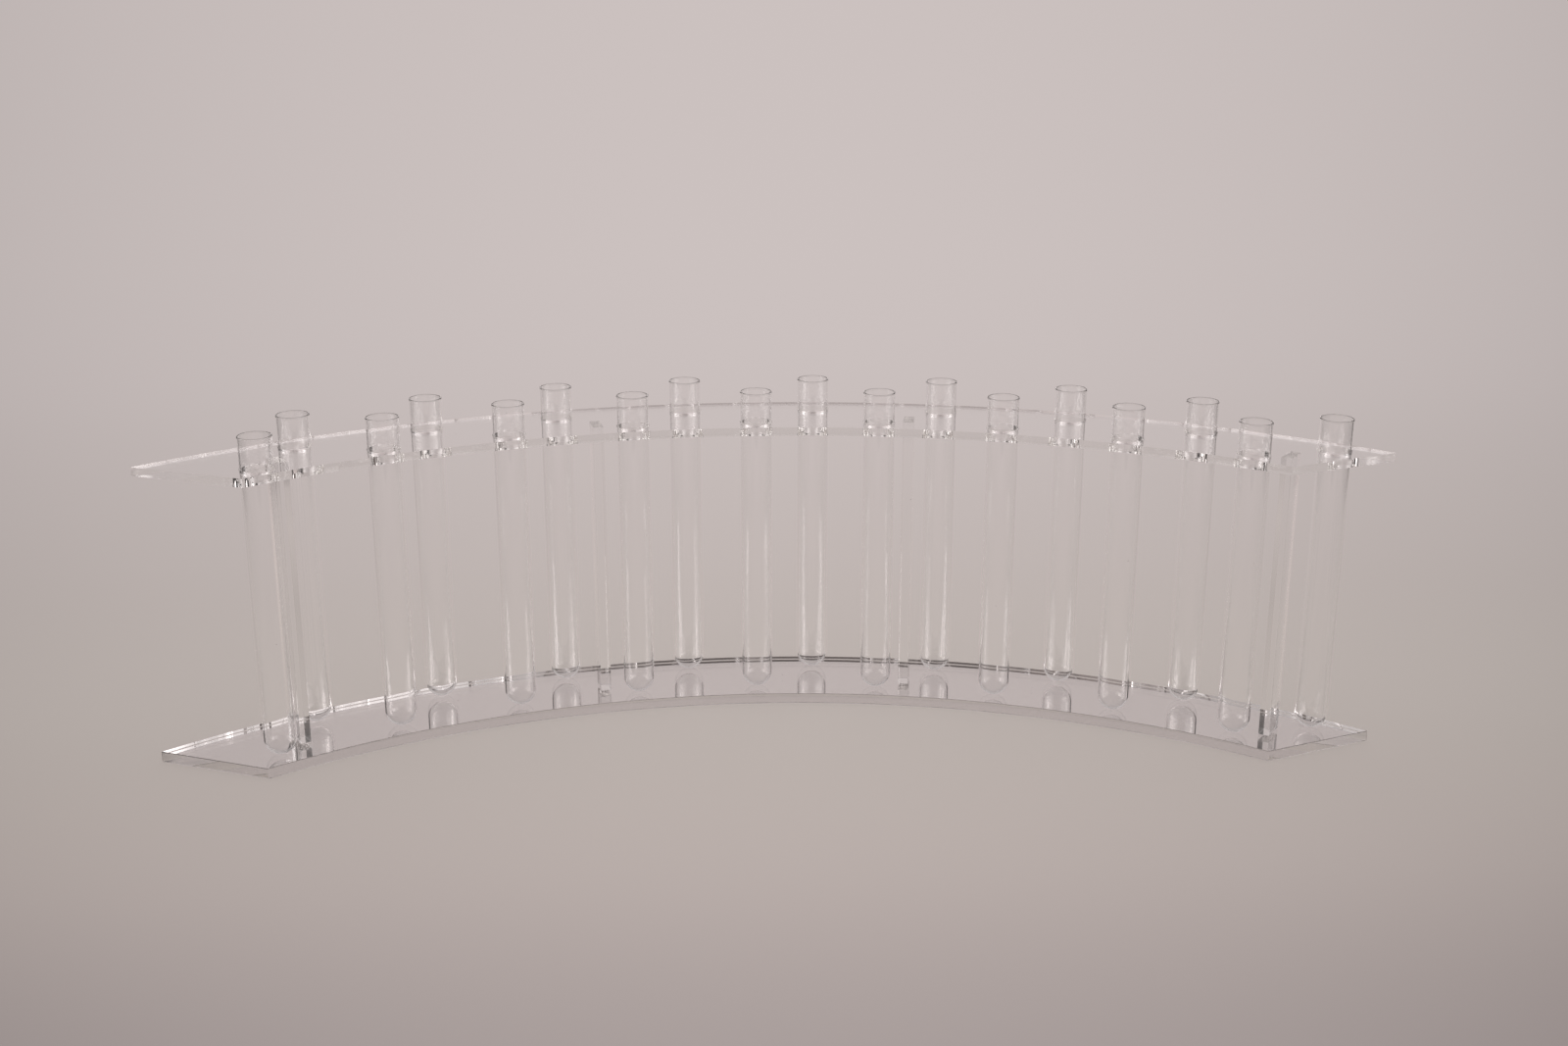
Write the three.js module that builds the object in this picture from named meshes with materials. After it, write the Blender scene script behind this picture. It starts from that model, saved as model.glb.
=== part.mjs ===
// A curved stand of clear acrylic with two staggered rows of glass test tubes.
// Two level plates, cut to the same arc, are joined by four flat posts. Each tube passes
// through a hole in the top plate and stands on the base plate, which is silvered underneath
// and mirrors it.
// Lengths are millimetres. +Z is up, +X runs along the stand, and +Y points to the outer, back
// side of the arc. The origin is the middle of the stand's outline, on the table.

import * as THREE from 'three';

// Glass tubes
const tubeDiameter = 15;
const tubeLength = 150;
const tubeWall = 0.6;
const lipRise = 0.15; // how far the lip stands out from the tube
const lipHeight = 1.6;
const tubeStandOut = 14.8; // from the top plate up to the mouth

// Acrylic plates and posts
const baseThickness = 5;
const topThickness = 4;
const postThickness = 5; // along the arc
const postDepth = 12; // across the arc
const postInset = 3; // from the arc's middle line toward the front

// Gaps between the pieces
const holeClearance = 0.3; // around a tube in its hole
const seatGap = 0.3; // under a tube's round end
const postClearance = 4; // along the arc, between a post and the tubes beside it

// Layout of the arc. Lengths along it are taken on the middle line of the plates.
const midRadius = 396;
const rowWeb = 10.4; // material between the front and the back holes
const edgeWeb = 4.2; // material between a hole and the long edge of the plate
const wideGapExtra = 4.8; // the gap after a back tube is this much wider than the one before it
const patternShift = 8.85; // the tubes and posts sit this far to the right of the middle
const outerEndMargin = 24; // along the outer edge, past the last back tube
const innerEndMargin = 12.1; // along the inner edge, past the last front tube

// Counts and facets
const tubesPerRow = 9;
const arcSegments = 48;
const holeSegments = 24;
const tubeSegments = 20;
const endSegments = 5; // from the lowest point of a tube's end to its side

const tubeRadius = tubeDiameter / 2;
const boreRadius = tubeRadius - tubeWall;
const lipRadius = tubeRadius + lipRise;
const holeRadius = tubeRadius + holeClearance;

const rowSpacing = 2 * holeRadius + rowWeb;
const frontRowRadius = midRadius - rowSpacing / 2;
const backRowRadius = midRadius + rowSpacing / 2;
const innerRadius = frontRowRadius - holeRadius - edgeWeb;
const outerRadius = backRowRadius + holeRadius + edgeWeb;
const postRadius = midRadius - postInset;

const nearGap = postThickness + 2 * postClearance; // from a front tube to the next back tube
const wideGap = nearGap + wideGapExtra; // from a back tube to the next front tube
const staggerAngle = (tubeDiameter + nearGap) / midRadius;
const stepAngle = (2 * tubeDiameter + nearGap + wideGap) / midRadius;
const shiftAngle = patternShift / midRadius;

const endPlace = (tubesPerRow - 1) / 2;
// In tube steps from the middle of the pattern. A whole number lies between a front tube and
// the back tube beside it, and a half in the wide gap to the next pair.
const postPlaces = {
  post_left_end: -endPlace,
  post_left_middle: -1.5,
  post_right_middle: 1,
  post_right_end: endPlace,
};

// The left end is the widest for the front row and the right end for the back row.
const lastFrontAngle = endPlace * stepAngle + staggerAngle / 2 - shiftAngle;
const lastBackAngle = endPlace * stepAngle + staggerAngle / 2 + shiftAngle;
const innerCornerAngle = lastFrontAngle + innerEndMargin / innerRadius;
const outerCornerAngle = lastBackAngle + outerEndMargin / outerRadius;

const tubeEndHeight = baseThickness + seatGap;
const topPlateTop = tubeEndHeight + tubeLength - tubeStandOut;
const topPlateBottom = topPlateTop - topThickness;
const postHeight = topPlateBottom - baseThickness;

// Y of the arc's centre, which puts the origin midway between the plate's front and back.
const frontReach = Math.min(
  innerRadius * Math.cos(innerCornerAngle),
  outerRadius * Math.cos(outerCornerAngle),
);
const arcCentreY = -(outerRadius + frontReach) / 2;

// A point on the arc: the angle runs from the middle of the stand, positive to the right.
function onArc(radius, angle) {
  return new THREE.Vector2(radius * Math.sin(angle), arcCentreY + radius * Math.cos(angle));
}

function arcPoints(radius, fromAngle, toAngle) {
  const points = [];
  for (let i = 0; i <= arcSegments; i += 1) {
    const angle = fromAngle + ((toAngle - fromAngle) * i) / arcSegments;
    points.push(onArc(radius, angle));
  }
  return points;
}

function tubeAngles(sideOfPair) {
  const angles = [];
  for (let i = 0; i < tubesPerRow; i += 1) {
    angles.push((i - endPlace) * stepAngle + shiftAngle + (sideOfPair * staggerAngle) / 2);
  }
  return angles;
}

const rows = [
  { name: 'tube_front', radius: frontRowRadius, angles: tubeAngles(-1) },
  { name: 'tube_back', radius: backRowRadius, angles: tubeAngles(1) },
];

function plateOutline() {
  return new THREE.Shape([
    ...arcPoints(outerRadius, -outerCornerAngle, outerCornerAngle),
    ...arcPoints(innerRadius, innerCornerAngle, -innerCornerAngle),
  ]);
}

function tubeHole(radius, angle) {
  const centre = onArc(radius, angle);
  const points = [];
  for (let i = 0; i < holeSegments; i += 1) {
    const turn = (2 * Math.PI * i) / holeSegments;
    points.push(
      new THREE.Vector2(
        centre.x + holeRadius * Math.cos(turn),
        centre.y + holeRadius * Math.sin(turn),
      ),
    );
  }
  return new THREE.Path(points);
}

function plateGeometry(outline, thickness) {
  return new THREE.ExtrudeGeometry(outline, { depth: thickness, bevelEnabled: false });
}

function tubeGeometry() {
  const profile = [];
  for (let i = 0; i <= endSegments; i += 1) {
    const angle = ((Math.PI / 2) * i) / endSegments;
    profile.push(
      new THREE.Vector2(tubeRadius * Math.sin(angle), tubeRadius * (1 - Math.cos(angle))),
    );
  }
  profile.push(new THREE.Vector2(tubeRadius, tubeLength - lipHeight));
  profile.push(new THREE.Vector2(lipRadius, tubeLength - lipHeight + lipRise));
  profile.push(new THREE.Vector2(lipRadius, tubeLength - lipRise));
  profile.push(new THREE.Vector2(tubeRadius, tubeLength));
  profile.push(new THREE.Vector2(boreRadius, tubeLength));
  for (let i = endSegments; i >= 0; i -= 1) {
    const angle = ((Math.PI / 2) * i) / endSegments;
    profile.push(
      new THREE.Vector2(boreRadius * Math.sin(angle), tubeRadius - boreRadius * Math.cos(angle)),
    );
  }
  return new THREE.LatheGeometry(profile, tubeSegments).rotateX(Math.PI / 2);
}

function acrylic() {
  return new THREE.MeshStandardMaterial({
    color: 0xd6d1cf,
    roughness: 0.06,
    metalness: 0,
    transparent: true,
    opacity: 0.4,
  });
}

function silveredAcrylic() {
  return new THREE.MeshStandardMaterial({
    color: 0xd2cfd0,
    roughness: 0.04,
    metalness: 0.9,
  });
}

function glass() {
  return new THREE.MeshStandardMaterial({
    color: 0xe6e4e1,
    roughness: 0.03,
    metalness: 0,
    transparent: true,
    opacity: 0.3,
  });
}

function namedMesh(name, geometry, material) {
  const mesh = new THREE.Mesh(geometry, material);
  mesh.name = name;
  return mesh;
}

function basePlate() {
  const sheet = plateGeometry(plateOutline(), baseThickness);
  return namedMesh('base_plate', sheet, silveredAcrylic());
}

function topPlate() {
  const outline = plateOutline();
  for (const row of rows) {
    for (const angle of row.angles) {
      outline.holes.push(tubeHole(row.radius, angle));
    }
  }
  const plate = namedMesh('top_plate', plateGeometry(outline, topThickness), acrylic());
  plate.position.z = topPlateBottom;
  return plate;
}

function post(name, place) {
  const angle = place * stepAngle + shiftAngle;
  const foot = onArc(postRadius, angle);
  const bar = new THREE.BoxGeometry(postThickness, postDepth, postHeight);
  const mesh = namedMesh(name, bar, acrylic());
  mesh.rotation.z = -angle;
  mesh.position.set(foot.x, foot.y, baseThickness + postHeight / 2);
  return mesh;
}

function tube(name, radius, angle) {
  const foot = onArc(radius, angle);
  const mesh = namedMesh(name, tubeGeometry(), glass());
  mesh.position.set(foot.x, foot.y, tubeEndHeight);
  return mesh;
}

const stand = new THREE.Group();
stand.add(basePlate(), topPlate());
for (const [name, place] of Object.entries(postPlaces)) {
  stand.add(post(name, place));
}
for (const row of rows) {
  row.angles.forEach((angle, i) => {
    stand.add(tube(`${row.name}_${i + 1}`, row.radius, angle));
  });
}

export default stand;
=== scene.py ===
import math

import bmesh
import bpy
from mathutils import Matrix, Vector


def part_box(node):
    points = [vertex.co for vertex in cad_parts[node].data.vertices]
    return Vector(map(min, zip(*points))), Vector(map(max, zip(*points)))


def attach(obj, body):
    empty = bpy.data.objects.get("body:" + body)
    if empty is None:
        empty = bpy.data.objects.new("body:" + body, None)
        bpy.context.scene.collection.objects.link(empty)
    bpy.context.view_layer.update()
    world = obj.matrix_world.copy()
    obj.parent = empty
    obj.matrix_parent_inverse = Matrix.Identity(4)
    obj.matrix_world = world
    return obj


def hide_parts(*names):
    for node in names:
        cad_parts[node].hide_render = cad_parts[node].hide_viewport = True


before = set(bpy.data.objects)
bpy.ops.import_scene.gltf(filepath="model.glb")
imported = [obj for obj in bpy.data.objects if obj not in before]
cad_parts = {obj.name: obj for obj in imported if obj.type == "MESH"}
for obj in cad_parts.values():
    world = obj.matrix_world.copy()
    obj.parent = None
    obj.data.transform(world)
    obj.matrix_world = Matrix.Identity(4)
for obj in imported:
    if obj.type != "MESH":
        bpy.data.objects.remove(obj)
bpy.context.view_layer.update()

MM = 0.001

# Sizes of the real pieces, in metres
TUBE_RADIUS = 7.5 * MM
TUBE_LENGTH = 150 * MM
TUBE_WALL = 0.6 * MM
LIP_RISE = 0.04 * MM
LIP_HEIGHT = 1.0 * MM
MOUTH_ROUNDING = 0.3 * TUBE_WALL
HOLE_RADIUS = 7.8 * MM
MID_RADIUS = 396 * MM
PLATE_WIDTH = 50 * MM
POST_THICKNESS = 5 * MM
POST_DEPTH = 12 * MM
PLATE_BEVEL = 0.3 * MM
POST_BEVEL = 0.1 * MM
JOINT_FILM = 0.05 * MM  # the thin film left between a post and a plate
SILVERING_LOW = 0.05 * MM  # the mirror coat lies in the underside of the base plate
SILVERING_HIGH = 0.15 * MM
SILVERING_INSET = 0.7 * MM  # the coat stops short of the cut edge

# Fineness and margins of the modelling
TUBE_SIDES = 64
END_RINGS = 14
MOUTH_SEGMENTS = 4
ARC_STEPS = 120
HOLE_SIDES = 72
BEVEL_SEGMENTS = 3
SHARP_ANGLE = math.radians(30)  # sharper edges are bevelled, and not shaded smooth
SAME_HEIGHT = 0.01 * MM
WELD_DISTANCE = 0.001 * MM
ARC_OVERRUN = math.radians(3)  # swept past each end before the slanted cut
DRILL_LENGTH = 3  # in thicknesses of the plate

# Clear and mirroring materials
ACRYLIC_IOR = 1.49
ACRYLIC_FACE = (0.995, 0.995, 1.0, 1)
# The cut edges are tinted a little darker than the faces: painted shade for the dark bands along
# them.
ACRYLIC_EDGE_SHADE = (0.98, 0.98, 0.98, 1)
ACRYLIC_DEPTHS = (0.5, 0.5, 0.42, 1)  # the colour that light takes on a long way through it
ACRYLIC_DENSITY = 2.0
CUT_MARKS = (1700, 1700, 60)  # fineness along X, Y and Z
CUT_MARK_DEPTH = 0.0005 * MM
GLASS_IOR = 1.47
GLASS_COLOUR = (0.992, 0.992, 0.992, 1)
DRAWN_WAVES = (260, 260, 6)
DRAWN_WAVE_DEPTH = 0.004 * MM
SILVER_COLOURS = ((0.83, 0.815, 0.81, 1), (0.87, 0.855, 0.85, 1))
SILVER_CLOUDS = (14, 14, 14)
SILVER_ROUGHNESS = 0.02
DUST_COLOUR = (0.3, 0.28, 0.27, 1)
DUST_ON_SILVER = (0.25, 0.24, 0.24, 1)
DUST_ROUGHNESS = 0.8
SHADOW_TINT = (0.98, 0.98, 0.98, 1)  # clear pieces cast hardly any shadow
HALF = 0.5  # parts counts of 0 and 1, and upright faces from level ones

# The photograph's camera
PHOTO_WIDTH = 1600
FOCAL_PIXELS = 1915.0
SENSOR_WIDTH = 36.0
CAMERA_PLACE = (-28.2 * MM, -844.0 * MM, 363.3 * MM)
CAMERA_DOWN = math.radians(17.46)
CAMERA_TURN = math.radians(-2.41)
CLIP_START = 0.01

# The backdrop paper: a table that sweeps up behind the stand
TABLE_DROP = 0.2 * MM
TABLE_SIZE = (15, 5, 1)
TABLE_MIDDLE = 0.5
TABLE_BACK = TABLE_MIDDLE + TABLE_SIZE[1] / 2
SWEEP_RADIUS = 1.0
SWEEP_STEPS = 32
WALL_HEIGHT = 1.6  # above the sweep
PAPER_ROUGHNESS = 0.9
PAPER_BACK = (0.6, 0.535, 0.523, 1)
PAPER_REACH = (-0.7, 1.3)  # the Y of the first and the last of the stops
# The paper's colour from front to back, with painted shading: darker in front, paler toward the
# back
PAPER_COLOUR_AND_SHADE_STOPS = (
    (0.0, (0.42, 0.36, 0.35, 1)),
    (0.1, (0.42, 0.36, 0.35, 1)),
    (0.2, (0.395, 0.34, 0.33, 1)),
    (0.264, (0.48, 0.416, 0.395, 1)),
    (0.344, (0.52, 0.462, 0.434, 1)),
    (0.464, (0.535, 0.474, 0.455, 1)),
    (0.68, (0.582, 0.518, 0.506, 1)),
    (1.0, PAPER_BACK),
)
NEAREST_REACH = 0.5  # the least distance from the camera that is reckoned with
SIDE_SQUARES = (0.0, 0.4)  # squared slope of the line of sight from the middle of the view
SIDE_SHADE = (1.0, 0.68)
SHADOW_REACH = (0.5, 0.9)  # metres from the stand in which its shadow on the table fades out
SHADOW_SHARE = (0.25, 0.0)

# What glass and mirror show of the paper outside the view
PAPER_HALF_WIDTH = 0.55  # of the distance from the camera
PAPER_LEAST_HALF_WIDTH = 0.6
PAPER_END = (1.0, 1.15)  # in half widths
PAPER_END_LIGHT = (1.0, 0.1)
# Painted light on the paper just outside the view, which only glass and mirror show
SIDE_LIT_SQUARES = (0.18, 0.26)
SIDE_LIT_LIGHT = (1.0, 1.25)
# Painted light on the paper in front of the stand, which only reflections show
FRONT_LIT_Y = (-0.35, 0.0)  # from where the paper in front is fully lit to where it is not
FRONT_LIT_LIGHT = (1.65, 1.0)
# A painted shadow: a dark patch on the paper in front that the painted light leaves out
PAINTED_SHADOW_PLACE = (0, -0.49, 0)
PAINTED_SHADOW_REACH = (0.16, 0.045, 1)  # half its size along X and Y
PAINTED_SHADOW_EDGE = (0.8, 1.2)  # its soft edge, in half sizes

# The studio in front of the stand, which only glass and mirror show
PALE_TINT = Vector((1, 0.93, 0.92))
DARK_TINT = Vector((1, 0.72, 0.64))
PALE_GLOW = 0.5  # the glow from which the tint is fully pale
ROOM_COLOUR = (1, 0.91, 0.89, 1)
ROOM_LIGHT = 0.15
SCREEN_RADIUS = 3.0
SCREEN_HEIGHT = 1.5
SCREEN_SIDES = 96
SCREEN_BACK = 1.35  # the Y past which the round screen is left open
SCREEN_ENDS = (0.6, 0.54, 0.53, 1)
SCREEN_TURN = (1.0, 1.1)  # heights between which the lower glow gives way to the upper
# Glow of the round screen, from left to right: degrees from the front, and the glow there in
# its lower and its upper part
SCREEN_GLOW = (
    (-84, 1.8, 1.8),
    (-78, 3.3, 3.3),
    (-64, 3.3, 3.3),
    (-59, 1.6, 0.7),
    (-47, 1.6, 0.52),
    (-41, 1.4, 0.42),
    (-35, 0.7, 0.28),
    (-28, 0.3, 0.2),
    (-19, 0.1, 0.07),
    (15, 0.1, 0.07),
    (22, 0.42, 0.28),
    (26, 0.75, 0.5),
    (32, 1.2, 0.8),
    (37, 1.7, 1.15),
    (49, 1.8, 1.2),
    (54, 1.6, 0.95),
    (60, 1.6, 0.95),
    (64, 3.3, 3.0),
    (78, 3.3, 3.3),
    (84, 1.8, 1.8),
)
CEILING_SIZE = 8
CEILING_PLACE = (0, 1, 2.7)
CEILING_TURN = (0.4, 0.9)  # the Y between which it turns from dark to pale
CEILING_LIGHT = (0.03, 0.6)  # over the stand, and behind it

GLASS_BOUNCES = 256
SHADOW_BOUNCES = 64

OUTER_RADIUS = MID_RADIUS + PLATE_WIDTH / 2
INNER_RADIUS = MID_RADIUS - PLATE_WIDTH / 2
BASE_LOW, BASE_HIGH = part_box("base_plate")
ARC_CENTRE = Vector((0, BASE_HIGH[1] - OUTER_RADIUS, 0))
OUTER_CORNER_ANGLE = math.asin(BASE_HIGH[0] / OUTER_RADIUS)
INNER_CORNER_ANGLE = math.acos((BASE_LOW[1] - ARC_CENTRE.y) / INNER_RADIUS)

ROWS = (("tube_front", "front_tube"), ("tube_back", "back_tube"))  # nodes, and their bodies
TUBES_PER_ROW = 9
POSTS = ("post_left_end", "post_left_middle", "post_right_middle", "post_right_end")


def tubes():
    """Each tube's CAD node and the body that it rides on."""
    for node, body in ROWS:
        for i in range(1, TUBES_PER_ROW + 1):
            yield f"{node}_{i}", f"{body}_{i}"


def on_arc(radius, angle, height=0.0):
    """A point on the stand's arc; the angle is positive to the right of the middle."""
    return ARC_CENTRE + Vector((radius * math.sin(angle), radius * math.cos(angle), height))


def middle_of(node):
    low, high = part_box(node)
    return (Vector(low) + Vector(high)) / 2


# Work on pieces

def deselect_all():
    bpy.ops.object.select_all(action="DESELECT")


def named(name):
    """Names the object that an operator has just added."""
    piece = bpy.context.object
    piece.name = name
    piece.data.name = name
    return piece


def make_active(piece):
    deselect_all()
    piece.select_set(True)
    bpy.context.view_layer.objects.active = piece


def settle(piece):
    """Puts the piece's place, turn and size into its mesh."""
    make_active(piece)
    bpy.ops.object.transform_apply(location=True, rotation=True, scale=True)


def select_vertices(piece, test):
    """Selects, in edit mode, the vertices that pass the test, with their edges and faces."""
    mesh = bmesh.from_edit_mesh(piece.data)
    bpy.ops.mesh.select_all(action="DESELECT")
    for vertex in mesh.verts:
        vertex.select_set(test(vertex.co))
    mesh.select_flush_mode()
    bmesh.update_edit_mesh(piece.data)


def apply_modifiers(piece):
    make_active(piece)
    for modifier in list(piece.modifiers):
        bpy.ops.object.modifier_apply(modifier=modifier.name)


def smooth(piece):
    make_active(piece)
    bpy.ops.object.shade_smooth_by_angle(angle=SHARP_ANGLE)


def bevel_edges(piece, width):
    """Breaks every sharp edge, as the polishing of cut acrylic does."""
    smooth(piece)
    bevel = piece.modifiers.new("broken edges", "BEVEL")
    bevel.width = width
    bevel.segments = BEVEL_SEGMENTS
    bevel.limit_method = "ANGLE"
    bevel.angle_limit = SHARP_ANGLE
    bevel.harden_normals = True
    apply_modifiers(piece)


def finish_piece(piece, node, body, material):
    piece.data.materials.clear()
    piece.data.materials.append(material)
    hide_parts(node)
    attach(piece, body)


# Tubes

def extrude_ring(rise, scale):
    bpy.ops.mesh.extrude_region_move(TRANSFORM_OT_translate={"value": (0, 0, rise)})
    bpy.ops.transform.resize(value=(scale, scale, 1))


def model_tube():
    """One test tube at the origin, standing on its round end."""
    deselect_all()
    bpy.ops.mesh.primitive_circle_add(
        vertices=TUBE_SIDES, radius=TUBE_RADIUS, location=(0, 0, TUBE_RADIUS)
    )
    tube = named("tube")
    settle(tube)
    bpy.ops.object.mode_set(mode="EDIT")
    bpy.ops.mesh.select_mode(type="VERT")
    bpy.ops.mesh.select_all(action="SELECT")
    extrude_ring(TUBE_LENGTH - LIP_HEIGHT - TUBE_RADIUS, 1)
    extrude_ring(LIP_RISE, (TUBE_RADIUS + LIP_RISE) / TUBE_RADIUS)
    extrude_ring(LIP_HEIGHT - LIP_RISE, 1)
    select_vertices(tube, lambda place: place.z < TUBE_RADIUS + SAME_HEIGHT)
    ring = TUBE_RADIUS
    height = 0.0
    for i in range(1, END_RINGS):
        angle = 0.5 * math.pi * i / END_RINGS
        next_ring = TUBE_RADIUS * math.cos(angle)
        next_height = -TUBE_RADIUS * math.sin(angle)
        extrude_ring(next_height - height, next_ring / ring)
        ring = next_ring
        height = next_height
    extrude_ring(-TUBE_RADIUS - height, 1)
    bpy.ops.mesh.merge(type="CENTER")
    bpy.ops.mesh.select_all(action="SELECT")
    bpy.ops.mesh.normals_make_consistent(inside=False)
    bpy.ops.object.mode_set(mode="OBJECT")
    wall = tube.modifiers.new("wall", "SOLIDIFY")
    wall.thickness = TUBE_WALL
    wall.offset = -1
    wall.use_even_offset = True
    apply_modifiers(tube)
    round_mouth(tube)
    smooth(tube)
    return tube


def round_mouth(tube):
    """Melts the cut edges of the mouth round, as a flame does."""
    make_active(tube)
    bpy.ops.object.mode_set(mode="EDIT")
    select_vertices(tube, lambda place: place.z > TUBE_LENGTH - SAME_HEIGHT)
    bpy.ops.mesh.bevel(offset=MOUTH_ROUNDING, segments=MOUTH_SEGMENTS, affect="EDGES")
    bpy.ops.object.mode_set(mode="OBJECT")


def place_tubes(material):
    pattern = model_tube()
    for node, body in tubes():
        low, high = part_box(node)
        make_active(pattern)
        bpy.ops.object.duplicate()
        tube = named(f"{node}_glass")
        tube.location = ((low[0] + high[0]) / 2, (low[1] + high[1]) / 2, low[2])
        settle(tube)
        finish_piece(tube, node, body, material)
    bpy.data.objects.remove(pattern)


# Plates and posts

def model_plate(name, bottom, top, inset=0.0):
    """An arc cut from flat sheet: its section is swept round the arc and its ends cut slanted."""
    start = OUTER_CORNER_ANGLE + ARC_OVERRUN
    deselect_all()
    bpy.ops.mesh.primitive_plane_add(
        size=1,
        location=on_arc(MID_RADIUS, start, (top + bottom) / 2),
        rotation=(math.pi / 2, 0, math.pi / 2 - start),
    )
    plate = named(name)
    plate.scale = (PLATE_WIDTH - 2 * inset, top - bottom, 1)
    settle(plate)
    bpy.ops.object.mode_set(mode="EDIT")
    bpy.ops.mesh.select_all(action="SELECT")
    bpy.ops.mesh.spin(steps=ARC_STEPS, angle=-2 * start, center=ARC_CENTRE, axis=(0, 0, 1))
    for side in (-1, 1):
        outer = on_arc(OUTER_RADIUS, side * OUTER_CORNER_ANGLE)
        inner = on_arc(INNER_RADIUS, side * INNER_CORNER_ANGLE)
        along = (outer - inner).normalized()
        outwards = side * Vector((along.y, -along.x, 0))
        bpy.ops.mesh.select_all(action="SELECT")
        bpy.ops.mesh.bisect(
            plane_co=outer - inset * outwards, plane_no=outwards, use_fill=True, clear_outer=True
        )
    bpy.ops.mesh.select_all(action="SELECT")
    bpy.ops.mesh.remove_doubles(threshold=WELD_DISTANCE)
    bpy.ops.mesh.normals_make_consistent(inside=False)
    bpy.ops.object.mode_set(mode="OBJECT")
    return plate


def drill_holes(plate):
    """Cuts the tubes' holes right through the plate."""
    low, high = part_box("top_plate")
    drills = []
    for node, _ in tubes():
        place = middle_of(node)
        bpy.ops.mesh.primitive_cylinder_add(
            vertices=HOLE_SIDES,
            radius=HOLE_RADIUS,
            depth=DRILL_LENGTH * (high[2] - low[2]),
            location=(place.x, place.y, (low[2] + high[2]) / 2),
        )
        drills.append(named("drill"))
    deselect_all()
    for drill in drills:
        drill.select_set(True)
    bpy.context.view_layer.objects.active = drills[0]
    bpy.ops.object.join()
    settle(drills[0])
    cut = plate.modifiers.new("holes", "BOOLEAN")
    cut.operation = "DIFFERENCE"
    cut.solver = "EXACT"
    cut.object = drills[0]
    apply_modifiers(plate)
    bpy.data.objects.remove(drills[0])


def place_plates(acrylic, mirror):
    low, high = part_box("base_plate")
    base = model_plate("base_plate_acrylic", low[2], high[2])
    bevel_edges(base, PLATE_BEVEL)
    finish_piece(base, "base_plate", "stand", acrylic)
    silvering = model_plate(
        "base_plate_silvering", low[2] + SILVERING_LOW, low[2] + SILVERING_HIGH, SILVERING_INSET
    )
    finish_piece(silvering, "base_plate", "stand", mirror)
    low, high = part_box("top_plate")
    top = model_plate("top_plate_acrylic", low[2], high[2])
    drill_holes(top)
    bevel_edges(top, PLATE_BEVEL)
    finish_piece(top, "top_plate", "stand", acrylic)


def place_posts(material):
    for node in POSTS:
        low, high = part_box(node)
        place = middle_of(node)
        from_centre = place - ARC_CENTRE
        angle = math.atan2(from_centre.x, from_centre.y)
        deselect_all()
        bpy.ops.mesh.primitive_cube_add(size=1, location=place, rotation=(0, 0, -angle))
        post = named(f"{node}_acrylic")
        post.scale = (POST_THICKNESS, POST_DEPTH, high[2] - low[2] - 2 * JOINT_FILM)
        settle(post)
        bevel_edges(post, POST_BEVEL)
        finish_piece(post, node, "stand", material)


# Shader nodes

def feed(tree, socket, given):
    """Links an input to another node's output, or gives it a plain value."""
    if isinstance(given, bpy.types.NodeSocket):
        tree.links.new(given, socket)
    else:
        socket.default_value = given


def add_node(tree, kind, settings=None, inputs=None):
    """Adds a node with its settings, and feeds its inputs."""
    node = tree.nodes.new(kind)
    for name, value in (settings or {}).items():
        setattr(node, name, value)
    for name, given in (inputs or {}).items():
        feed(tree, node.inputs[name], given)
    return node


def maths(tree, operation, first, second=0.0, clamp=False):
    settings = {"operation": operation, "use_clamp": clamp}
    return add_node(tree, "ShaderNodeMath", settings, {0: first, 1: second}).outputs["Value"]


def mask(tree, operation, first, second):
    """A Math node whose result is held between 0 and 1."""
    return maths(tree, operation, first, second, clamp=True)


def map_range(tree, value, source, target=(0.0, 1.0)):
    """Turns the source range into the target range, and holds the value there beyond it."""
    inputs = {
        "Value": value,
        "From Min": source[0],
        "From Max": source[1],
        "To Min": target[0],
        "To Max": target[1],
    }
    return add_node(tree, "ShaderNodeMapRange", inputs=inputs).outputs["Result"]


def blend(tree, kind, share, first, second):
    """Goes from the first colour, RGBA, or number, FLOAT, to the second."""
    inputs = {"Factor": share, "A": first, "B": second}
    return add_node(tree, "ShaderNodeMix", {"data_type": kind}, inputs).outputs["Result"]


def mix_shaders(tree, share, first, second):
    inputs = {"Fac": share, 1: first, 2: second}
    return add_node(tree, "ShaderNodeMixShader", inputs=inputs).outputs["Shader"]


def length_of(tree, vector):
    node = add_node(tree, "ShaderNodeVectorMath", {"operation": "LENGTH"}, {0: vector})
    return node.outputs["Value"]


def coordinates(tree):
    return add_node(tree, "ShaderNodeTexCoord").outputs["Object"]


def xyz_of(tree, vector):
    return add_node(tree, "ShaderNodeSeparateXYZ", inputs={"Vector": vector}).outputs


def light_path(tree):
    return add_node(tree, "ShaderNodeLightPath").outputs


def stretched_noise(tree, fineness, detail):
    """Noise with its own fineness along X, Y and Z."""
    inputs = {"Vector": coordinates(tree), "Scale": fineness}
    mapping = add_node(tree, "ShaderNodeMapping", inputs=inputs)
    inputs = {"Vector": mapping.outputs["Vector"], "Scale": 1.0, "Detail": detail}
    return add_node(tree, "ShaderNodeTexNoise", inputs=inputs).outputs["Fac"]


# Node groups

def new_group(name, inputs, outputs):
    """A node group with number inputs, given with their values, and number outputs."""
    group = bpy.data.node_groups.new(name, "ShaderNodeTree")
    for label, value in inputs.items():
        socket = group.interface.new_socket(
            label, in_out="INPUT", socket_type="NodeSocketFloat"
        )
        socket.default_value = value
    for label in outputs:
        group.interface.new_socket(label, in_out="OUTPUT", socket_type="NodeSocketFloat")
    entry = group.nodes.new("NodeGroupInput")
    result = group.nodes.new("NodeGroupOutput")
    return group, entry, result


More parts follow.
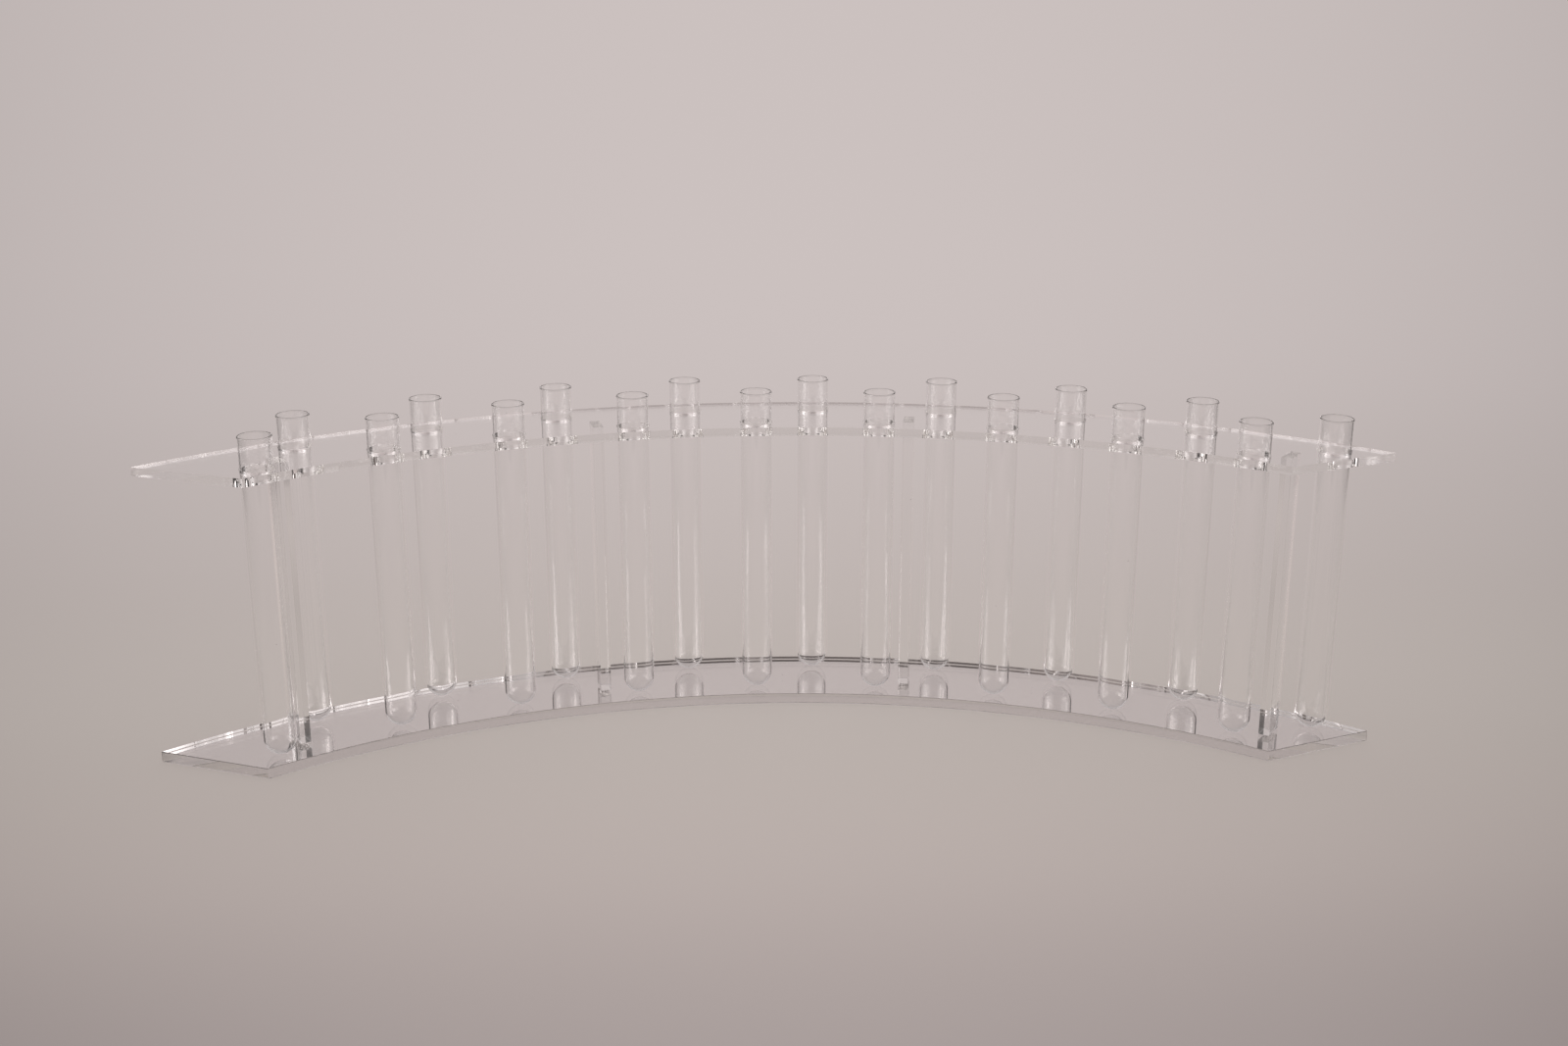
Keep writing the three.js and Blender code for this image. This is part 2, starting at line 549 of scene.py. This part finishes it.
def dust_group():
    """Single grains of dust, each in a cell of its own, on a share of the cells."""
    inputs = {"Cells per metre": 150.0, "Grain": 0.03, "Share": 0.3}
    group, entry, result = new_group("dust", inputs, ("Grains",))
    inputs = {"Vector": coordinates(group), "Scale": entry.outputs["Cells per metre"]}
    cells = add_node(group, "ShaderNodeTexVoronoi", {"feature": "F1"}, inputs)
    grain = mask(group, "LESS_THAN", cells.outputs["Distance"], entry.outputs["Grain"])
    colour = add_node(
        group, "ShaderNodeSeparateColor", inputs={"Color": cells.outputs["Color"]}
    )
    chosen = mask(group, "LESS_THAN", colour.outputs["Red"], entry.outputs["Share"])
    grains = mask(group, "MULTIPLY", grain, chosen)
    group.links.new(grains, result.inputs["Grains"])
    return group


def cut_edge_group():
    """The upright faces of a cut sheet and the fine upright marks that the cutter leaves."""
    group, entry, result = new_group("cut edge", {"Depth": 1.0}, ("Edge", "Marks"))
    geometry = add_node(group, "ShaderNodeNewGeometry")
    normal = xyz_of(group, geometry.outputs["True Normal"])
    edge = mask(group, "LESS_THAN", maths(group, "ABSOLUTE", normal["Z"]), HALF)
    marks = stretched_noise(group, CUT_MARKS, 3.0)
    marks = mask(group, "MULTIPLY", marks, entry.outputs["Depth"])
    marks = mask(group, "MULTIPLY", marks, edge)
    group.links.new(edge, result.inputs["Edge"])
    group.links.new(marks, result.inputs["Marks"])
    return group


def place_group(tree, group, inputs=None):
    return add_node(tree, "ShaderNodeGroup", {"node_tree": group}, inputs).outputs


# Materials

def new_material(name):
    material = bpy.data.materials.new(name)
    material.use_nodes = True
    tree = material.node_tree
    return material, tree, tree.nodes["Principled BSDF"]


def surface_of(tree):
    return tree.nodes["Material Output"].inputs["Surface"]


def clear_material(name, ior, colour):
    """A clear solid that refracts and casts hardly any shadow. Its plain colour and roughness
    stand for the dusty ones wherever those aren't worked out."""
    material, tree, shader = new_material(name)
    shader.inputs["Base Color"].default_value = colour
    shader.inputs["Roughness"].default_value = 0
    shader.inputs["IOR"].default_value = ior
    shader.inputs["Transmission Weight"].default_value = 1
    film = add_node(tree, "ShaderNodeBsdfTransparent", inputs={"Color": SHADOW_TINT})
    shadow = light_path(tree)["Is Shadow Ray"]
    clear = mix_shaders(tree, shadow, shader.outputs["BSDF"], film.outputs["BSDF"])
    tree.links.new(clear, surface_of(tree))
    return material, tree, shader


def add_dust(tree, shader, colour, grains):
    """Dull grey grains on a polished surface of the given colour."""
    feed(tree, shader.inputs["Base Color"], blend(tree, "RGBA", grains, colour, DUST_COLOUR))
    feed(tree, shader.inputs["Roughness"], blend(tree, "FLOAT", grains, 0.0, DUST_ROUGHNESS))


def absorb(tree, colour, density):
    """Long ways through the sheet take a little light, so its edges look darker."""
    inputs = {"Color": colour, "Density": density}
    body = add_node(tree, "ShaderNodeVolumeAbsorption", inputs=inputs)
    tree.links.new(body.outputs["Volume"], tree.nodes["Material Output"].inputs["Volume"])


def bump(tree, shader, height, distance):
    inputs = {"Strength": 1.0, "Distance": distance, "Height": height}
    node = add_node(tree, "ShaderNodeBump", inputs=inputs)
    tree.links.new(node.outputs["Normal"], shader.inputs["Normal"])


def acrylic_material(dust, cut_edge):
    """Clear cast acrylic: polished faces, laser-cut edges with fine upright marks."""
    material, tree, shader = clear_material("clear_acrylic", ACRYLIC_IOR, ACRYLIC_FACE)
    grains = place_group(tree, dust, {"Cells per metre": 130.0, "Grain": 0.03})["Grains"]
    edges = place_group(tree, cut_edge)
    # Painted shade: the cut edges get a slightly darker tint than the polished faces.
    sheet = blend(tree, "RGBA", edges["Edge"], ACRYLIC_FACE, ACRYLIC_EDGE_SHADE)
    add_dust(tree, shader, sheet, grains)
    bump(tree, shader, edges["Marks"], CUT_MARK_DEPTH)
    absorb(tree, ACRYLIC_DEPTHS, ACRYLIC_DENSITY)
    return material


def glass_material(dust):
    """Drawn glass tubing: clear, with faint long waves from the drawing."""
    material, tree, shader = clear_material("clear_glass", GLASS_IOR, GLASS_COLOUR)
    inputs = {"Cells per metre": 90.0, "Grain": 0.02, "Share": 0.2}
    add_dust(tree, shader, GLASS_COLOUR, place_group(tree, dust, inputs)["Grains"])
    bump(tree, shader, stretched_noise(tree, DRAWN_WAVES, 1.0), DRAWN_WAVE_DEPTH)
    return material


def mirror_material(dust):
    """The silvered underside of the base plate, a little cloudy in places."""
    material, tree, shader = new_material("silvering")
    shader.inputs["Metallic"].default_value = 1
    cloud = stretched_noise(tree, SILVER_CLOUDS, 3.0)
    inputs = {"Cells per metre": 60.0, "Grain": 0.02, "Share": 0.25}
    grains = place_group(tree, dust, inputs)["Grains"]
    silver = blend(tree, "RGBA", cloud, *SILVER_COLOURS)
    spotted = blend(tree, "RGBA", grains, silver, DUST_ON_SILVER)
    feed(tree, shader.inputs["Base Color"], spotted)
    feed(tree, shader.inputs["Roughness"], blend(tree, "FLOAT", cloud, 0.0, SILVER_ROUGHNESS))
    return material


# Room, lights and camera

def add_camera():
    camera = bpy.data.cameras.new("camera")
    camera.sensor_width = SENSOR_WIDTH
    camera.lens = SENSOR_WIDTH * FOCAL_PIXELS / PHOTO_WIDTH
    camera.clip_start = CLIP_START
    holder = bpy.data.objects.new("camera", camera)
    holder.location = CAMERA_PLACE
    holder.rotation_euler = (math.pi / 2 - CAMERA_DOWN, 0, CAMERA_TURN)
    bpy.context.collection.objects.link(holder)
    bpy.context.scene.camera = holder


def glowing_material(name):
    """A surface that only gives light."""
    material, tree, shader = new_material(name)
    tree.nodes.remove(shader)
    glow = add_node(tree, "ShaderNodeEmission", inputs={"Strength": 1.0})
    tree.links.new(glow.outputs["Emission"], surface_of(tree))
    return material, tree, glow


def keep_to_reflections(piece):
    """The piece shows only in gloss, mirror and glass, and lights nothing."""
    piece.visible_camera = False
    piece.visible_diffuse = False
    piece.visible_shadow = False


def screen_ramp(tree, across, part):
    """The glow from left to right, in the screen's lower part, 0, or its upper part, 1."""
    ramp = add_node(tree, "ShaderNodeValToRGB", inputs={"Fac": across})
    stops = ramp.color_ramp.elements
    for stop in stops:
        stop.color = SCREEN_ENDS
    for degrees, *glows in SCREEN_GLOW:
        tint = DARK_TINT.lerp(PALE_TINT, min(1, glows[part] / PALE_GLOW))
        stop = stops.new((degrees + 90) / 180)
        stop.color = (*(glows[part] * tint), 1)
    return ramp.outputs["Color"]


def add_screen():
    """A round wall behind the camera: dark in the middle, paler to both sides and brightest near
    its ends. To the sides its lower part is brighter than its upper one."""
    deselect_all()
    bpy.ops.mesh.primitive_cylinder_add(
        vertices=SCREEN_SIDES,
        radius=SCREEN_RADIUS,
        depth=SCREEN_HEIGHT,
        end_fill_type="NOTHING",
        location=(0, 0, SCREEN_HEIGHT / 2),
    )
    screen = named("studio_screen")
    settle(screen)
    bpy.ops.object.mode_set(mode="EDIT")
    bpy.ops.mesh.select_all(action="SELECT")
    bpy.ops.mesh.bisect(plane_co=(0, SCREEN_BACK, 0), plane_no=(0, 1, 0), clear_outer=True)
    bpy.ops.object.mode_set(mode="OBJECT")
    smooth(screen)
    material, tree, glow = glowing_material("studio screen")
    place = xyz_of(tree, coordinates(tree))
    forwards = maths(tree, "MULTIPLY", place["Y"], -1)
    angle = maths(tree, "ARCTAN2", place["X"], forwards)
    across = map_range(tree, angle, (-math.pi / 2, math.pi / 2))
    upper = map_range(tree, place["Z"], SCREEN_TURN)
    ramps = (screen_ramp(tree, across, 0), screen_ramp(tree, across, 1))
    tree.links.new(blend(tree, "RGBA", upper, *ramps), glow.inputs["Color"])
    screen.data.materials.append(material)
    keep_to_reflections(screen)


def add_ceiling():
    """The ceiling, dark over the stand and pale behind it, that the tubes' lips show."""
    deselect_all()
    bpy.ops.mesh.primitive_plane_add(size=CEILING_SIZE, location=CEILING_PLACE)
    ceiling = named("ceiling")
    settle(ceiling)
    material, tree, glow = glowing_material("ceiling")
    glow.inputs["Color"].default_value = (*PALE_TINT, 1)
    place = xyz_of(tree, coordinates(tree))
    light = map_range(tree, place["Y"], CEILING_TURN, CEILING_LIGHT)
    tree.links.new(light, glow.inputs["Strength"])
    ceiling.data.materials.append(material)
    keep_to_reflections(ceiling)


def paper_ramp(tree, depth):
    ramp = add_node(tree, "ShaderNodeValToRGB", inputs={"Fac": depth})
    ramp.color_ramp.interpolation = "CARDINAL"
    stops = ramp.color_ramp.elements
    first, *between, last = PAPER_COLOUR_AND_SHADE_STOPS
    stops[0].position, stops[0].color = first
    stops[1].position, stops[1].color = last
    for position, colour in between:
        stop = stops.new(position)
        stop.color = colour
    return ramp.outputs["Color"]


def front_light(tree):
    """Painted light: how much brighter the paper in front of the stand is below the view, where
    the posts mirror it. A painted shadow, a dark patch which the middle of the top plate's back
    edge mirrors, is no brighter, and neither is paper that is seen through clear pieces without a
    reflection."""
    place = coordinates(tree)
    lit = map_range(tree, xyz_of(tree, place)["Y"], FRONT_LIT_Y, FRONT_LIT_LIGHT)
    inputs = {"Vector": place, "Location": PAINTED_SHADOW_PLACE, "Scale": PAINTED_SHADOW_REACH}
    from_painted_shadow = add_node(tree, "ShaderNodeMapping", {"vector_type": "TEXTURE"}, inputs)
    distance = length_of(tree, from_painted_shadow.outputs["Vector"])
    outside = map_range(tree, distance, PAINTED_SHADOW_EDGE)
    reflected = mask(tree, "GREATER_THAN", light_path(tree)["Glossy Depth"], HALF)
    shown = mask(tree, "MULTIPLY", outside, reflected)
    return blend(tree, "FLOAT", shown, 1.0, lit)


def sweep_colour(tree):
    """The backdrop paper's colour with painted shading: paler toward the back, darker in front and
    a little darker to the sides. What glass and mirror show of it also has painted light, brighter
    to the sides and in front, and ends in the dark outside the view."""
    place = xyz_of(tree, coordinates(tree))
    # Painted shading along the paper: darker in front and paler toward the back.
    paper = paper_ramp(tree, map_range(tree, place["Y"], PAPER_REACH))
    # Metres from the camera along the table, and sideways from the middle of its view
    reach = maths(tree, "ADD", place["Y"], -CAMERA_PLACE[1])
    reach = maths(tree, "MAXIMUM", reach, NEAREST_REACH)
    view_middle = maths(tree, "MULTIPLY", reach, -math.tan(CAMERA_TURN))
    across = maths(tree, "SUBTRACT", place["X"], CAMERA_PLACE[0])
    aside = maths(tree, "SUBTRACT", across, view_middle)
    slope = maths(tree, "DIVIDE", aside, reach)
    square = maths(tree, "MULTIPLY", slope, slope)
    # Painted shade: the paper is darker toward the sides of the view.
    shade = map_range(tree, square, SIDE_SQUARES, SIDE_SHADE)
    # The paper ends a little outside the view. Only glass and mirror show the dark room there.
    half_width = maths(tree, "MULTIPLY", reach, PAPER_HALF_WIDTH)
    half_width = maths(tree, "MAXIMUM", half_width, PAPER_LEAST_HALF_WIDTH)
    share = maths(tree, "DIVIDE", maths(tree, "ABSOLUTE", aside), half_width)
    unseen = map_range(tree, share, PAPER_END, PAPER_END_LIGHT)
    # Painted light: just outside the view the paper is a little brighter.
    side_lit = map_range(tree, square, SIDE_LIT_SQUARES, SIDE_LIT_LIGHT)
    unseen = maths(tree, "MULTIPLY", unseen, side_lit)
    unseen = maths(tree, "MULTIPLY", unseen, front_light(tree))
    seen = blend(tree, "FLOAT", light_path(tree)["Is Camera Ray"], unseen, 1.0)
    inputs = {0: paper, "Scale": maths(tree, "MULTIPLY", shade, seen)}
    shaded = add_node(tree, "ShaderNodeVectorMath", {"operation": "SCALE"}, inputs)
    return shaded.outputs["Vector"]


def near_stand(tree):
    """How much of the stand's shadow the table shows: most round the stand, none far from it."""
    return map_range(tree, length_of(tree, coordinates(tree)), SHADOW_REACH, SHADOW_SHARE)


def add_room():
    """A pale table that sweeps up into a backdrop behind the stand."""
    deselect_all()
    bpy.ops.mesh.primitive_plane_add(size=1, location=(0, TABLE_MIDDLE, -TABLE_DROP))
    floor = named("floor")
    floor.scale = TABLE_SIZE
    settle(floor)
    bpy.ops.object.mode_set(mode="EDIT")
    select_vertices(floor, lambda place: place.y > TABLE_MIDDLE)
    bpy.ops.mesh.spin(
        steps=SWEEP_STEPS,
        angle=-math.pi / 2,
        center=(0, TABLE_BACK, SWEEP_RADIUS),
        axis=(1, 0, 0),
    )
    bpy.ops.mesh.extrude_region_move(TRANSFORM_OT_translate={"value": (0, 0, WALL_HEIGHT)})
    bpy.ops.mesh.select_all(action="SELECT")
    bpy.ops.mesh.remove_doubles(threshold=MM)
    bpy.ops.object.mode_set(mode="OBJECT")
    smooth(floor)
    floor.visible_diffuse = False
    floor.visible_shadow = False
    material, tree, shader = new_material("backdrop")
    colour = sweep_colour(tree)
    shader.inputs["Roughness"].default_value = PAPER_ROUGHNESS
    shader.inputs["Specular IOR Level"].default_value = 0
    tree.links.new(colour, shader.inputs["Base Color"])
    inputs = {"Color": colour, "Strength": 1.0}
    glow = add_node(tree, "ShaderNodeEmission", inputs=inputs)
    lit = mask(tree, "MULTIPLY", light_path(tree)["Is Camera Ray"], near_stand(tree))
    paper = mix_shaders(tree, lit, glow.outputs["Emission"], shader.outputs["BSDF"])
    tree.links.new(paper, surface_of(tree))
    floor.data.materials.append(material)


def add_world():
    """Even light for matt surfaces, and a dark studio for what mirrors and glass show of it."""
    world = bpy.data.worlds.new("room")
    bpy.context.scene.world = world
    world.use_nodes = True
    tree = world.node_tree
    even = tree.nodes["Background"]
    even.inputs["Color"].default_value = (1, 1, 1, 1)
    even.inputs["Strength"].default_value = 1
    inputs = {"Color": ROOM_COLOUR, "Strength": ROOM_LIGHT}
    dark = add_node(tree, "ShaderNodeBackground", inputs=inputs)
    path = light_path(tree)
    clear = mask(tree, "ADD", path["Is Glossy Ray"], path["Is Transmission Ray"])
    first = mask(tree, "LESS_THAN", path["Diffuse Depth"], HALF)
    shown = mask(tree, "MULTIPLY", clear, first)
    lit = mix_shaders(tree, shown, even.outputs["Background"], dark.outputs["Background"])
    # Past the paper's ends the camera sees the paper's own colour.
    paper = add_node(tree, "ShaderNodeBackground", inputs={"Color": PAPER_BACK})
    seen = mix_shaders(tree, path["Is Camera Ray"], lit, paper.outputs["Background"])
    tree.links.new(seen, tree.nodes["World Output"].inputs["Surface"])


def allow_deep_glass():
    """Light crosses up to 40 surfaces on its way through both rows, and light that enters a tube's
    mouth runs down inside the thin wall by some 200 reflections."""
    cycles = bpy.context.scene.cycles
    cycles.max_bounces = GLASS_BOUNCES
    cycles.transmission_bounces = GLASS_BOUNCES
    cycles.glossy_bounces = GLASS_BOUNCES
    cycles.transparent_max_bounces = SHADOW_BOUNCES


dust = dust_group()
acrylic = acrylic_material(dust, cut_edge_group())
place_plates(acrylic, mirror_material(dust))
place_posts(acrylic)
place_tubes(glass_material(dust))
add_room()
add_screen()
add_ceiling()
add_world()
add_camera()
allow_deep_glass()
bpy.context.scene.view_settings.view_transform = "Standard"
